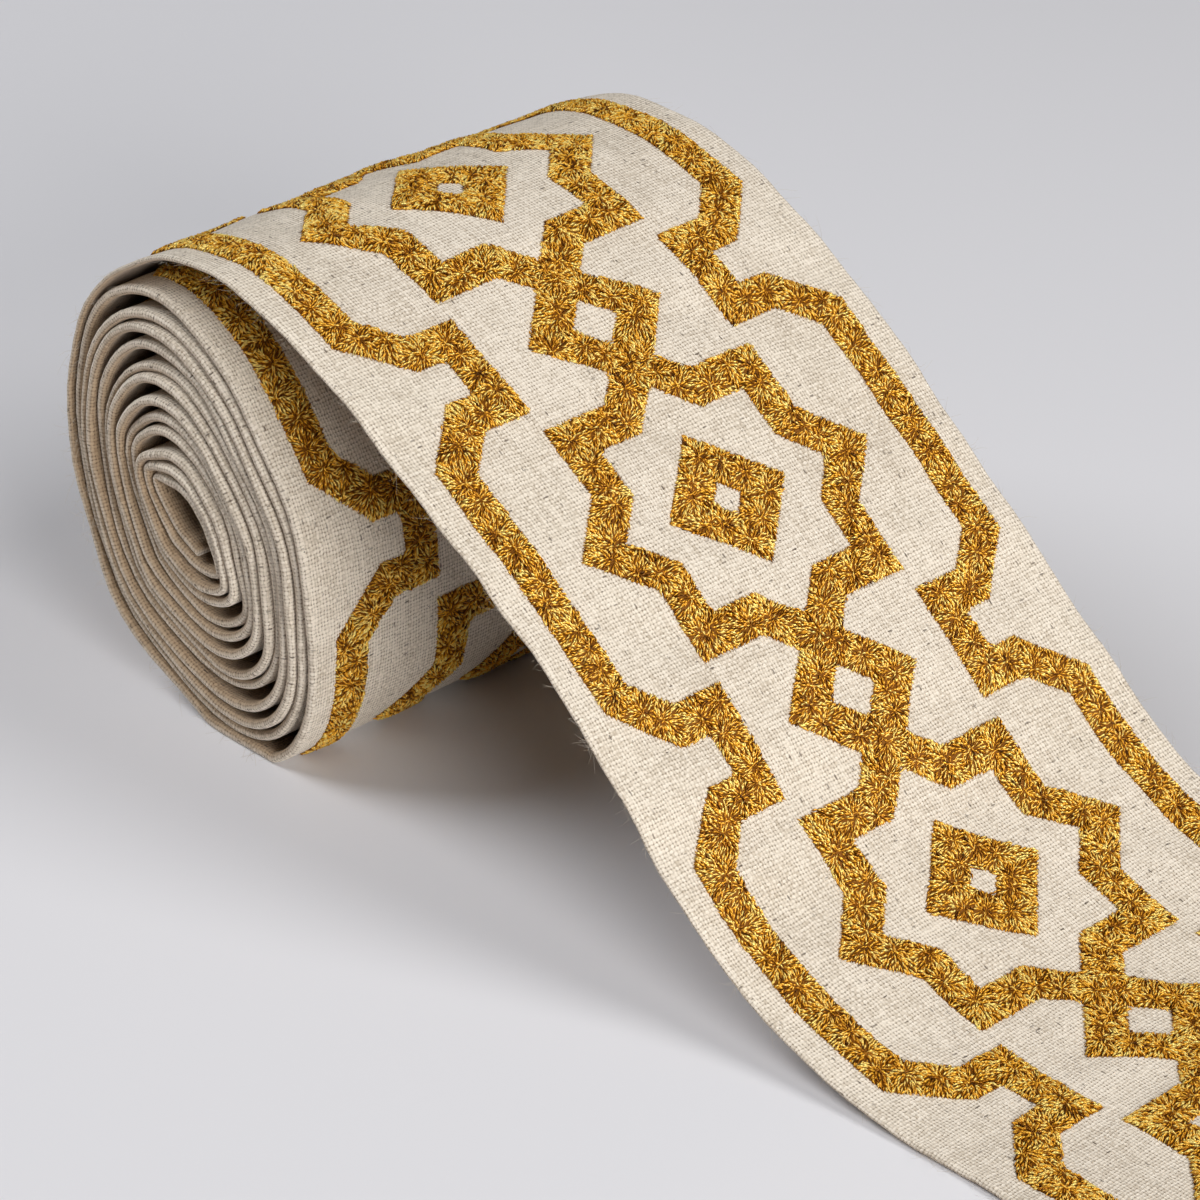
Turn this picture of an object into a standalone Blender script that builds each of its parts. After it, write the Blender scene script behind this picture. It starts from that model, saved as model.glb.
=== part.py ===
"""A wide embroidered linen tape, rolled up, with its loose end lying on the surface.

The tape is one strip of cloth, so it is one closed solid: the strip's centre line is worked out
in the upright plane across the roll, and the strip's thickness and width are laid round it.
The centre line starts at the cut end on the surface, climbs the slope, passes over the roll,
goes down its back, under it, up its front, and winds on inward to the tail at the core.

Metres, +Z up, surface at z = 0. +X runs along the loose end, away from the roll. +Y runs along
the roll's axis. The origin is on the surface, under the middle of the tape's bounding box.
"""
import math

import bmesh
import bpy
import numpy as np

MM = 0.001

# The strip
TAPE_WIDTH = 114 * MM
SHEET_THICKNESS = 1.3 * MM

# The roll, seen along +Y. Angles are in degrees, from +X towards +Z.
ROLL_CENTRE_HEIGHT = 41.8 * MM
TURNS = 12.42
LIFT_ANGLE = 150.0

# How far the outermost turn reaches from the roll's centre, halfway through it. The rows are
# evenly spaced, because a smooth closed curve is carried through them.
REACH_TURN = 0.5
ROLL_REACH = [
    {"angle": 0, "reach": 35.9 * MM},
    {"angle": 30, "reach": 34.3 * MM},
    {"angle": 60, "reach": 36.8 * MM},
    {"angle": 90, "reach": 44.5 * MM},
    {"angle": 120, "reach": 45.5 * MM},
    {"angle": 150, "reach": 36.8 * MM},
    {"angle": 180, "reach": 31.8 * MM},
    {"angle": 210, "reach": 30.8 * MM},
    {"angle": 240, "reach": 33.9 * MM},
    {"angle": 270, "reach": 38.3 * MM},
    {"angle": 300, "reach": 47.2 * MM},
    {"angle": 330, "reach": 41.4 * MM},
]

# The flattened opening left at the core
CORE_HALF_LENGTH = 8.2 * MM
CORE_HALF_WIDTH = 2.3 * MM
CORE_TILT = -35.0

# Loose crescents between layers at the upper shoulder and the lower toe of the roll
CRESCENT_DEPTH = 0.7 * MM
CRESCENT_ANGLES = (118.0, 303.0)
CRESCENT_SPREAD = 34.0
CRESCENT_RATE = 2.35
CALM_TURNS = 1.5

# Layers stand a little in or out at the roll's ends
END_SHIFT = 0.6 * MM
END_SHIFT_RATE = 1.7

# The loose end from where it lifts off the roll, a row for each stretch. "along" is measured
# from the roll's centre, "near" and "far" are the heights of the two edges' centre lines.
LOOSE_END = [
    {"along": -30.4 * MM, "near": 70.6 * MM, "far": 70.6 * MM},
    {"along": -25.7 * MM, "near": 79.3 * MM, "far": 79.2 * MM},
    {"along": -16.0 * MM, "near": 88.9 * MM, "far": 88.0 * MM},
    {"along": -4.0 * MM, "near": 95.0 * MM, "far": 93.8 * MM},
    {"along": 9.0 * MM, "near": 97.2 * MM, "far": 96.2 * MM},
    {"along": 23.0 * MM, "near": 95.4 * MM, "far": 95.6 * MM},
    {"along": 39.0 * MM, "near": 88.8 * MM, "far": 90.8 * MM},
    {"along": 56.0 * MM, "near": 80.6 * MM, "far": 82.2 * MM},
    {"along": 76.0 * MM, "near": 68.4 * MM, "far": 69.4 * MM},
    {"along": 96.0 * MM, "near": 55.4 * MM, "far": 53.8 * MM},
    {"along": 114.0 * MM, "near": 41.2 * MM, "far": 39.4 * MM},
    {"along": 130.0 * MM, "near": 26.0 * MM, "far": 26.6 * MM},
    {"along": 145.0 * MM, "near": 14.0 * MM, "far": 15.6 * MM},
    {"along": 161.0 * MM, "near": 6.6 * MM, "far": 7.8 * MM},
    {"along": 178.0 * MM, "near": 2.2 * MM, "far": 2.6 * MM},
]
FLAT_START = 192.0 * MM
LOOSE_REACH = 256.0 * MM

# How finely the centre line is worked out, and how finely the solid follows it. The loose
# end's curve is led into the roll by a point that lies 1 / JOIN_SHARE of a turn further on.
DENSE_STEP = 0.4 * MM
SAMPLES_PER_TURN = 600
JOIN_SHARE = 33
LONGEST_STEP = 8 * MM
SHORTEST_STEP = 0.45 * MM
LARGEST_BEND = 9.0
LEVEL_TOLERANCE = 1e-9
SHARP_EDGE = 40.0

LINEN_COLOUR = (0.56, 0.50, 0.41, 1.0)
LINEN_ROUGHNESS = 0.92


def harmonic_table(rows):
    """Return the cosine and sine weights that carry a smooth closed curve through even rows."""
    values = [row["reach"] for row in rows]
    angles = np.radians([row["angle"] for row in rows])
    count = len(rows)
    weights = []
    for order in range(count // 2 + 1):
        share = 1 / count if order in (0, count // 2) else 2 / count
        cosine = share * float(np.dot(values, np.cos(order * angles)))
        sine = share * float(np.dot(values, np.sin(order * angles)))
        weights.append((cosine, sine))
    return weights


REACH_WEIGHTS = harmonic_table(ROLL_REACH)


def outer_reach(angle):
    """Return the reach of the outermost turn at an angle in radians, smooth all the way round."""
    return sum(
        cosine * math.cos(order * angle) + sine * math.sin(order * angle)
        for order, (cosine, sine) in enumerate(REACH_WEIGHTS)
    )


def core_reach(angle):
    """Return the distance from the roll's centre to the rim of its flattened core."""
    lean = angle - math.radians(CORE_TILT)
    across = math.hypot(CORE_HALF_WIDTH * math.cos(lean), CORE_HALF_LENGTH * math.sin(lean))
    return CORE_HALF_LENGTH * CORE_HALF_WIDTH / across


def crescent(angle, turn):
    """Return how far a layer bows out or in where the roll is slack."""
    bow = 0.0
    for place, centre in enumerate(CRESCENT_ANGLES):
        away = (math.degrees(angle) - centre + 180) % 360 - 180
        lobe = math.exp(-((away / CRESCENT_SPREAD) ** 2))
        bow += lobe * math.sin(CRESCENT_RATE * turn + place)
    fade = min(1.0, turn, max(0.0, TURNS - CALM_TURNS - turn))
    return CRESCENT_DEPTH * fade * bow


def roll_point(turn):
    """Return the centre line's x and z after so many turns inward from the lift-off."""
    angle = math.radians(LIFT_ANGLE + 360 * turn)
    outward = 1 - (turn - REACH_TURN) / TURNS
    core = core_reach(angle)
    radius = core + (outer_reach(angle) - core) * outward + crescent(angle, turn)
    x = radius * math.cos(angle)
    z = ROLL_CENTRE_HEIGHT + radius * math.sin(angle)
    return np.array([x, max(z, SHEET_THICKNESS / 2)])


def smooth_stretch(points, step):
    """Return closely spaced points on a smooth curve from the second point to the last but one."""
    dense = []
    for first, start, stop, last in zip(points, points[1:], points[2:], points[3:]):
        k0 = 0.0
        k1 = k0 + math.sqrt(np.linalg.norm(start - first))
        k2 = k1 + math.sqrt(np.linalg.norm(stop - start))
        k3 = k2 + math.sqrt(np.linalg.norm(last - stop))
        count = max(2, round(float(np.linalg.norm(stop - start)) / step))
        for k in np.linspace(k1, k2, count, endpoint=False):
            a1 = ((k1 - k) * first + (k - k0) * start) / (k1 - k0)
            a2 = ((k2 - k) * start + (k - k1) * stop) / (k2 - k1)
            a3 = ((k3 - k) * stop + (k - k2) * last) / (k3 - k2)
            b1 = ((k2 - k) * a1 + (k - k0) * a2) / (k2 - k0)
            b2 = ((k3 - k) * a2 + (k - k1) * a3) / (k3 - k1)
            dense.append(((k2 - k) * b1 + (k - k1) * b2) / (k2 - k1))
    dense.append(points[-2])
    return dense


def loose_line(edge):
    """Return the loose end's points for one edge, from the cut end to the roll."""
    half = SHEET_THICKNESS / 2
    flat_count = round((LOOSE_REACH - FLAT_START) / DENSE_STEP)
    flat = [np.array([x, half]) for x in np.linspace(LOOSE_REACH, FLAT_START, flat_count, False)]
    slope = [np.array([row["along"], row[edge]]) for row in reversed(LOOSE_END)]
    knots = [np.array([FLAT_START + LONGEST_STEP, half]), np.array([FLAT_START, half])]
    knots += slope + [roll_point(0.0), roll_point(1 / JOIN_SHARE)]
    curve = smooth_stretch(knots, DENSE_STEP)
    return flat + [np.array([x, max(z, half)]) for x, z in curve]


def roll_line():
    """Return the wound part's points and the turn of each, from the lift-off to the tail."""
    turns = np.arange(1, round(TURNS * SAMPLES_PER_TURN) + 1) / SAMPLES_PER_TURN
    return [roll_point(turn) for turn in turns], list(turns)


def resample(points, count):
    """Return so many points evenly spaced along a line, with its ends kept."""
    line = np.array(points)
    run = np.concatenate([[0], np.cumsum(np.linalg.norm(np.diff(line, axis=0), axis=1))])
    places = np.linspace(0, run[-1], count)
    return np.stack([np.interp(places, run, line[:, axis]) for axis in (0, 1)], axis=1)


def centre_lines():
    """Return the near and far centre lines, point by point, and each point's turn."""
    near, far = loose_line("near"), loose_line("far")
    count = max(len(near), len(far))
    wound, turns = roll_line()
    near_line = np.concatenate([resample(near, count), wound])
    far_line = np.concatenate([resample(far, count), wound])
    return near_line, far_line, np.array([0.0] * count + turns)


def directions(line):
    """Return the unit direction of a line at each of its points."""
    ahead = np.gradient(line, axis=0)
    return ahead / np.linalg.norm(ahead, axis=1)[:, None]


def station_indices(line):
    """Return the points to keep, closer together where the line bends."""
    length = np.linalg.norm(np.diff(line, axis=0), axis=1)
    heading = np.unwrap(np.arctan2(*directions(line).T[::-1]))
    bend = np.abs(np.diff(heading))
    effort = np.maximum(length / LONGEST_STEP, bend / math.radians(LARGEST_BEND))
    total = np.concatenate([[0], np.cumsum(effort)])
    wanted = np.linspace(0, total[-1], math.ceil(total[-1]) + 1)
    kept = set(np.searchsorted(total, wanted).clip(0, len(line) - 1).tolist())
    level = np.isclose(line[:, 1], SHEET_THICKNESS / 2, atol=LEVEL_TOLERANCE)
    kept |= set((np.flatnonzero(np.diff(level.astype(int)) != 0) + 1).tolist())
    kept |= {0, len(line) - 1}
    return drop_crowded(line, sorted(kept))


def drop_crowded(line, kept):
    """Return the kept points without those that lie almost on the one before."""
    result = [kept[0]]
    for index in kept[1:]:
        if np.linalg.norm(line[index] - line[result[-1]]) > SHORTEST_STEP:
            result.append(index)
    return result


def tape_sections():
    """Return the strip's four corner points at each station, from the cut end to the tail."""
    near_line, far_line, turns = centre_lines()
    near_ahead, far_ahead = directions(near_line), directions(far_line)
    half = SHEET_THICKNESS / 2
    sections = []
    for index in station_indices(near_line):
        turn = turns[index]
        shift = END_SHIFT * math.sin(END_SHIFT_RATE * turn) * min(1.0, turn)
        corners = []
        for line, ahead, edge in ((near_line, near_ahead, 0.0), (far_line, far_ahead, TAPE_WIDTH)):
            x, z = line[index]
            along_x, along_z = ahead[index]
            for side in (1, -1):
                corners.append((
                    x + side * half * along_z,
                    edge + shift,
                    z - side * half * along_x,
                ))
        sections.append(corners)
    return sections


def tape_mesh(sections):
    """Return the closed mesh through the sections, with both ends capped."""
    points = np.array(sections)
    low, high = points.min(axis=(0, 1)), points.max(axis=(0, 1))
    middle = np.array([(low[0] + high[0]) / 2, (low[1] + high[1]) / 2, 0.0])
    work = bmesh.new()
    rings = []
    for corners in points - middle:
        near_out, near_in, far_out, far_in = [work.verts.new(corner) for corner in corners]
        rings.append((near_out, near_in, far_in, far_out))
    for ring, following in zip(rings, rings[1:]):
        for side in range(4):
            after = (side + 1) % 4
            work.faces.new((ring[side], ring[after], following[after], following[side]))
    work.faces.new(tuple(reversed(rings[0])))
    work.faces.new(rings[-1])
    bmesh.ops.recalc_face_normals(work, faces=work.faces)
    mesh = bpy.data.meshes.new("tape")
    work.to_mesh(mesh)
    work.free()
    return mesh


def linen_material():
    """Return the natural linen finish of the cloth."""
    material = bpy.data.materials.new("natural_linen")
    material.use_nodes = True
    shader = material.node_tree.nodes["Principled BSDF"]
    shader.inputs["Base Color"].default_value = LINEN_COLOUR
    shader.inputs["Roughness"].default_value = LINEN_ROUGHNESS
    shader.inputs["Metallic"].default_value = 0.0
    material.diffuse_color = LINEN_COLOUR
    return material


def clear_scene():
    """Remove the objects that the scene starts with."""
    for item in list(bpy.data.objects):
        bpy.data.objects.remove(item, do_unlink=True)


def build_tape():
    """Build the strip of tape as one object."""
    mesh = tape_mesh(tape_sections())
    mesh.shade_smooth()
    mesh.set_sharp_from_angle(angle=math.radians(SHARP_EDGE))
    mesh.materials.append(linen_material())
    tape = bpy.data.objects.new("tape", mesh)
    bpy.context.scene.collection.objects.link(tape)
    return tape


clear_scene()
build_tape()
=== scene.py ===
"""Looks of a wide embroidered linen tape, rolled up with its loose end on the surface.

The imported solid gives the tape's place and size. The cloth, its embroidery and its stray fibres
are laid along the same centre line as the solid, in metres, +Z up, surface at z = 0.
"""
import logging
import math
from dataclasses import dataclass, field
from enum import Enum

import bpy
import numpy as np
from mathutils import Matrix, Vector


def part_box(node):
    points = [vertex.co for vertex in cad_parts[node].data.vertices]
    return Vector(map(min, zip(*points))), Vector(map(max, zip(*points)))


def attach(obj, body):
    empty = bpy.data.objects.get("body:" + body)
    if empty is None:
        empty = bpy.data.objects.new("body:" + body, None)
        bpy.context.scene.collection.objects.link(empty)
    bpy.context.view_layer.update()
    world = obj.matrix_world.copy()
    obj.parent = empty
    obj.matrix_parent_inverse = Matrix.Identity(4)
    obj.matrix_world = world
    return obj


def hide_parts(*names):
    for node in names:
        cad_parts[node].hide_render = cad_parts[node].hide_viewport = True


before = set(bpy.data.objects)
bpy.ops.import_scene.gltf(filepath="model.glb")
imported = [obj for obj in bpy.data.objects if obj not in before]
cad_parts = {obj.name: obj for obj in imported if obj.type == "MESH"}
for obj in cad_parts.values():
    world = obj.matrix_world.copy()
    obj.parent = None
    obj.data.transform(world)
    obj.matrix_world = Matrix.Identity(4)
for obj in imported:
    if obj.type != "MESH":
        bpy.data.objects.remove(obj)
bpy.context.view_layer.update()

MM = 0.001
ROOT_BODY = "root"
TAPE_NODE = "tape"
THREAD_MAP = "Thread"
TONE_AND_PAINTED_LIGHT = "tone"
# Mesh number for painted shade on the cloth's inner side and under its folded edges.
INNER_PAINTED_SHADE = "inside"
LOG = logging.getLogger("tape")


class Layer(Enum):
    """Heights at which noise is read over the cloth, so that no two layers run alike."""

    BASE = 0.0
    CLOUD = 2.0
    FIBRE = 4.0
    LEAN = 5.0
    PATCH = 7.0
    SHAKE = 8.0
    WEFT = 9.0


class Edge(Enum):
    """One long edge of the tape, by the way from it to the middle of the cloth."""

    NEAR = 1
    FAR = -1


# Shader graphs


class Signal:
    """A shader socket that adds Math nodes when it is used in arithmetic."""

    def __init__(self, graph: "Graph", socket: bpy.types.NodeSocket) -> None:
        """Keep the graph and the output socket that this value stands for."""
        self.graph = graph
        self.socket = socket

    def __add__(self, other: "Signal | float") -> "Signal":
        """Return this plus other."""
        return self.graph.math("ADD", self, other)

    def __radd__(self, other: float) -> "Signal":
        """Return other plus this."""
        return self.graph.math("ADD", other, self)

    def __sub__(self, other: "Signal | float") -> "Signal":
        """Return this minus other."""
        return self.graph.math("SUBTRACT", self, other)

    def __rsub__(self, other: float) -> "Signal":
        """Return other minus this."""
        return self.graph.math("SUBTRACT", other, self)

    def __mul__(self, other: "Signal | float") -> "Signal":
        """Return this times other."""
        return self.graph.math("MULTIPLY", self, other)

    def __rmul__(self, other: float) -> "Signal":
        """Return other times this."""
        return self.graph.math("MULTIPLY", other, self)

    def __truediv__(self, other: "Signal | float") -> "Signal":
        """Return this divided by other."""
        return self.graph.math("DIVIDE", self, other)

    def __gt__(self, other: "Signal | float") -> "Signal":
        """Return one where this is above other, else nought."""
        return self.graph.math("GREATER_THAN", self, other)

    def floor(self) -> "Signal":
        """Return the whole number below this."""
        return self.graph.math("FLOOR", self)

    def fract(self) -> "Signal":
        """Return what is left above the whole number."""
        return self.graph.math("FRACT", self)

    def cosine(self) -> "Signal":
        """Return the cosine of this, in radians."""
        return self.graph.math("COSINE", self)

    def highest(self, other: "Signal | float") -> "Signal":
        """Return the larger of this and other."""
        return self.graph.math("MAXIMUM", self, other)

    def between(self, low: float, high: float) -> "Signal":
        """Return how far this is from low to high, from nought to one, with soft ends.

        Args:
            low: The value that gives nought.
            high: The value that gives one.

        Returns:
            The share of the way.
        """
        node = self.graph.node(
            "ShaderNodeMapRange",
            {"interpolation_type": "SMOOTHSTEP", "clamp": True},
            {"Value": self, "From Min": low, "From Max": high},
        )
        return Signal(self.graph, node.outputs["Result"])


class Graph:
    """A material's nodes, with one Principled shader at their end."""

    mix_factor = 0
    mix_first = 6
    mix_second = 7
    mix_result = 2

    def __init__(self, name: str) -> None:
        """Make an empty material with its shader and output.

        Args:
            name: The material's name.
        """
        self.material = bpy.data.materials.new(name)
        self.material.use_nodes = True
        self.tree = self.material.node_tree
        self.tree.nodes.clear()
        self.shader = self.node("ShaderNodeBsdfPrincipled")
        self.node("ShaderNodeOutputMaterial", inputs={"Surface": self.shader.outputs["BSDF"]})

    def node(self, kind: str, settings: dict | None = None, inputs: dict | None = None) -> bpy.types.Node:
        """Make any node.

        Args:
            kind: The node's type.
            settings: Its properties, set first. "stops" holds a ramp's (place, colour) pairs.
            inputs: Values or links for its sockets, by name or number.

        Returns:
            The new node.
        """
        made = self.tree.nodes.new(kind)
        for name, value in (settings or {}).items():
            if name == "stops":
                self._set_stops(made.color_ramp, value)
            else:
                setattr(made, name, value)
        for name, value in (inputs or {}).items():
            self.feed(made.inputs[name], value)
        return made

    @staticmethod
    def _set_stops(ramp: bpy.types.ColorRamp, stops: list) -> None:
        """Give a ramp its stops.

        Args:
            ramp: The ramp.
            stops: Its (place, colour) pairs, in order.
        """
        while len(ramp.elements) < len(stops):
            ramp.elements.new(1.0)
        for element, (place, colour) in zip(ramp.elements, stops):
            element.position = place
            element.color = (*colour, 1.0)

    def feed(self, socket: bpy.types.NodeSocket, value: object) -> None:
        """Link a signal or a socket to a socket, or set its number or colour.

        Args:
            socket: The socket that is fed.
            value: What it gets.
        """
        if isinstance(value, Signal):
            self.tree.links.new(value.socket, socket)
        elif isinstance(value, bpy.types.NodeSocket):
            self.tree.links.new(value, socket)
        elif isinstance(value, tuple) and socket.type == "RGBA":
            socket.default_value = (*value, 1.0)
        else:
            socket.default_value = value

    def math(self, operation: str, *values: "Signal | float") -> Signal:
        """Return one Math node's result on one or two values."""
        made = self.node("ShaderNodeMath", {"operation": operation}, dict(enumerate(values)))
        return Signal(self, made.outputs["Value"])

    def attribute(self, name: str) -> Signal:
        """Return a number that the mesh carries."""
        made = self.node("ShaderNodeAttribute", {"attribute_name": name})
        return Signal(self, made.outputs["Fac"])

    def flat_place(self) -> tuple[Signal, Signal]:
        """Read the place on the unrolled cloth.

        Returns:
            The distances across and along it, in metres.
        """
        source = self.node("ShaderNodeUVMap", {"uv_map": THREAD_MAP})
        split = self.node("ShaderNodeSeparateXYZ", inputs={"Vector": source.outputs["UV"]})
        return Signal(self, split.outputs["X"]), Signal(self, split.outputs["Y"])

    def vector(self, x: Signal, y: Signal, z: float = 0.0) -> bpy.types.NodeSocket:
        """Return three numbers as a vector."""
        return self.node("ShaderNodeCombineXYZ", inputs={"X": x, "Y": y, "Z": z}).outputs["Vector"]

    def noise(self, place: bpy.types.NodeSocket, scale: float, detail: float = 2.0) -> Signal:
        """Return cloudy noise, from about 0.2 to 0.8.

        Args:
            place: Where it is read.
            scale: How many clouds there are to a unit.
            detail: How many finer layers it has.

        Returns:
            The noise.
        """
        made = self.node(
            "ShaderNodeTexNoise", {"noise_dimensions": "3D"},
            {"Vector": place, "Scale": scale, "Detail": detail},
        )
        return Signal(self, made.outputs[0])

    def cloth_noise(self, x: Signal, y: Signal, layer: Layer, scale: float, detail: float = 2.0) -> Signal:
        """Return noise that is read over the flat cloth."""
        return self.noise(self.vector(x, y, layer.value), scale, detail)

    def mix(self, share: "Signal | float", first: object, second: object,
            blend: str = "MIX") -> bpy.types.NodeSocket:
        """Return two colours blended.

        Args:
            share: How much of the second there is.
            first: The colour under it.
            second: The colour that is mixed in.
            blend: The blend's name.

        Returns:
            The colour.
        """
        made = self.node(
            "ShaderNodeMix", {"data_type": "RGBA", "blend_type": blend, "clamp_factor": True},
            {self.mix_factor: share, self.mix_first: first, self.mix_second: second},
        )
        return made.outputs[self.mix_result]

    def bump(self, height: Signal, strength: float, distance: float) -> None:
        """Raise the surface by a height, in shading.

        Args:
            height: The height, from about nought to one.
            strength: How much of it is seen.
            distance: How high one is, in metres.
        """
        made = self.node(
            "ShaderNodeBump", {},
            {"Height": height, "Strength": strength, "Distance": distance},
        )
        self.feed(self.shader.inputs["Normal"], made.outputs["Normal"])

    def finish(self, **values: object) -> bpy.types.Material:
        """Set the shader's sockets.

        Args:
            values: What they get, by their names in small letters.

        Returns:
            The material.
        """
        for name, value in values.items():
            socket = name.replace("_", " ").title().replace("Ior", "IOR")
            self.feed(self.shader.inputs[socket], value)
        return self.material


@dataclass(frozen=True)
class LinenFinish:
    """Plain woven natural linen: cream threads of uneven tone and thickness, with dark flecks, and painted
    shade in the weave's hollows, on warp-over cells, on the inner side and under the folded edges.
    """

    warp_pitch: float = 0.68 * MM
    weft_pitch: float = 0.76 * MM
    pale: tuple = (0.875, 0.785, 0.665)
    dusky: tuple = (0.56, 0.475, 0.37)
    hollow_painted_shade: tuple = (0.26, 0.20, 0.14)
    inner_painted_shade: tuple = (0.50, 0.40, 0.30)
    sway: float = 1.1
    sway_scale: float = 260.0
    shake: float = 0.5
    shake_scale: float = 900.0
    bulge: float = 3.2
    thread_apart: float = 3.7
    thread_drift: float = 0.09
    cloud: float = 0.42
    cloud_scale: float = 28.0
    fibre: float = 0.9
    fibre_scale: float = 1500.0
    patch_scale: float = 600.0
    warp_painted_shade: float = 0.07
    groove_painted_shade: float = 0.34
    shade_limits: tuple = (-0.10, 0.60)
    painted_groove_limits: tuple = (0.22, 0.56)
    patch_limits: tuple = (0.28, 0.60)
    relief: float = 0.55
    relief_depth: float = 0.20 * MM
    tone_relief: float = 0.5
    fibre_relief: float = 0.8
    fleck: tuple = (0.06, 0.035, 0.02)
    fleck_rows: tuple = ((2.3 * MM, 7.5 * MM, 0.0), (8.0 * MM, 2.6 * MM, 31.0))
    fleck_size: float = 0.075
    fleck_share: float = 0.75
    fleck_depth: tuple = (0.35, 0.5)

    def material(self) -> bpy.types.Material:
        """Make the cloth's material.

        Returns:
            The material.
        """
        graph = Graph("natural_linen")
        across, along = graph.flat_place()
        sway = graph.cloth_noise(across, along, Layer.BASE, self.sway_scale) - 0.5
        lean = graph.cloth_noise(along, across, Layer.LEAN, self.sway_scale) - 0.5
        shake = graph.cloth_noise(along, across, Layer.SHAKE, self.shake_scale, 1.0) - 0.5
        warp = across / self.warp_pitch + sway * self.sway + shake * self.shake
        weft = along / self.weft_pitch + lean * self.sway + shake * self.shake
        height, upper = self._weave(warp, weft)
        tone = self._thread_tone(graph, warp, weft, upper)
        cloud = graph.cloth_noise(across, along, Layer.CLOUD, self.cloud_scale, 3.0)
        fibre = graph.cloth_noise(across, along, Layer.FIBRE, self.fibre_scale)
        # Painted shade: cells where the warp lies over are made a little darker than those where the weft
        # does.
        shade = tone + (cloud - 0.5) * self.cloud + (fibre - 0.5) * self.fibre - upper * self.warp_painted_shade
        # Painted shade between the yarns: the lower the weave, the darker the cloth.
        shade = shade - (1 - height) * self.groove_painted_shade
        colour = graph.mix(shade.between(*self.shade_limits), self.dusky, self.pale)
        # Painted shade in the weave's hollows: a dark brown where the weave is lowest, in patches.
        patch = graph.cloth_noise(across, along, Layer.PATCH, self.patch_scale)
        painted_groove = (1 - height.between(*self.painted_groove_limits)) * patch.between(*self.patch_limits)
        colour = graph.mix(painted_groove, colour, self.hollow_painted_shade)
        for row in self.fleck_rows:
            colour = graph.mix(self._flecks(graph, across, along, row), colour, self.fleck)
        # Painted shade: the inner side and the underside of the folded edges are multiplied by a brown.
        colour = graph.mix(graph.attribute(INNER_PAINTED_SHADE), colour, self.inner_painted_shade, "MULTIPLY")
        relief = height + tone * self.tone_relief + fibre * self.fibre_relief
        graph.bump(relief, self.relief, self.relief_depth)
        return graph.finish(base_color=colour, roughness=0.92, sheen_weight=0.12, sheen_roughness=0.5)

    def _weave(self, warp: Signal, weft: Signal) -> tuple[Signal, Signal]:
        """Return the height of a plain weave, and where its warp is uppermost.

        Args:
            warp: The place across, in warp threads.
            weft: The place along, in weft threads.

        Returns:
            The height from nought to one, and one where the warp is over.
        """
        side = warp.fract() - 0.5
        rise = weft.fract() - 0.5
        turn = ((warp.floor() + weft.floor()) * 0.5).fract() * 4 - 1
        over = (1 - side * side * self.bulge) * (0.5 + 0.5 * turn * (rise * math.pi).cosine())
        under = (1 - rise * rise * self.bulge) * (0.5 - 0.5 * turn * (side * math.pi).cosine())
        return over.highest(under), over > under

    def _thread_tone(self, graph: Graph, warp: Signal, weft: Signal, upper: Signal) -> Signal:
        """Return each thread's own shade, which drifts along it.

        Args:
            graph: The material's nodes.
            warp: The place across, in warp threads.
            weft: The place along, in weft threads.
            upper: One where the warp is over.

        Returns:
            The upper thread's shade, from about 0.2 to 0.8.
        """
        own = []
        for thread, run, layer in ((warp, weft, Layer.BASE), (weft, warp, Layer.WEFT)):
            number, place = thread.floor() * self.thread_apart, run * self.thread_drift
            own.append(graph.cloth_noise(number, place, layer, 1.0, 1.0))
        return own[0] * upper + own[1] * (1 - upper)

    def _flecks(self, graph: Graph, across: Signal, along: Signal, row: tuple) -> Signal:
        """Return where dark bits of plant lie in the threads.

        Args:
            graph: The material's nodes.
            across: The place across, in metres.
            along: The place along, in metres.
            row: The cells' width and length, and an offset.

        Returns:
            How dark it is inside a fleck, else nought.
        """
        width, length, offset = row
        cells = graph.node(
            "ShaderNodeTexVoronoi", {"voronoi_dimensions": "2D", "feature": "F1"},
            {"Vector": graph.vector(across / width + offset, along / length), "Scale": 1.0},
        )
        chance = graph.node("ShaderNodeSeparateColor", inputs={"Color": cells.outputs["Color"]})
        size = Signal(graph, chance.outputs["Red"]).between(1 - self.fleck_share, 1.0) * self.fleck_size
        distance = Signal(graph, cells.outputs["Distance"])
        least, more = self.fleck_depth
        return (size > distance) * (least + more * Signal(graph, chance.outputs["Green"]))


@dataclass(frozen=True)
class FlossFinish:
    """Glossy gold embroidery floss, coloured from a tone on the mesh that runs from deep brown to bright
    gold. The tone holds the floss's own uneven colour and painted light: painted shade at the stitch ends,
    where they dive into the cloth, and a painted highlight on their crowns.
    """

    name: str = "gold_floss"
    deep: tuple = (0.075, 0.02, 0.001)
    brown: tuple = (0.42, 0.145, 0.003)
    gold: tuple = (0.98, 0.50, 0.040)
    bright: tuple = (1.0, 0.80, 0.24)
    glint: tuple = (1.0, 0.82, 0.48)
    places: tuple = (0.0, 0.27, 0.62, 1.0)
    metallic: float = 0.35
    roughness: float = 0.32
    specular: float = 0.6
    ply_scale: float = 2600.0
    ply_relief: float = 0.5
    ply_depth: float = 0.08 * MM

    def material(self) -> bpy.types.Material:
        """Make the floss's material.

        Returns:
            The material.
        """
        graph = Graph(self.name)
        stops = list(zip(self.places, (self.deep, self.brown, self.gold, self.bright)))
        ramp = graph.node("ShaderNodeValToRGB", {"stops": stops}, {"Fac": graph.attribute(TONE_AND_PAINTED_LIGHT)})
        ply = graph.cloth_noise(*graph.flat_place(), Layer.BASE, self.ply_scale, 1.0)
        graph.bump(ply, self.ply_relief, self.ply_depth)
        return graph.finish(
            base_color=ramp.outputs["Color"], roughness=self.roughness, metallic=self.metallic,
            specular_ior_level=self.specular, specular_tint=self.glint,
        )


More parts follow.
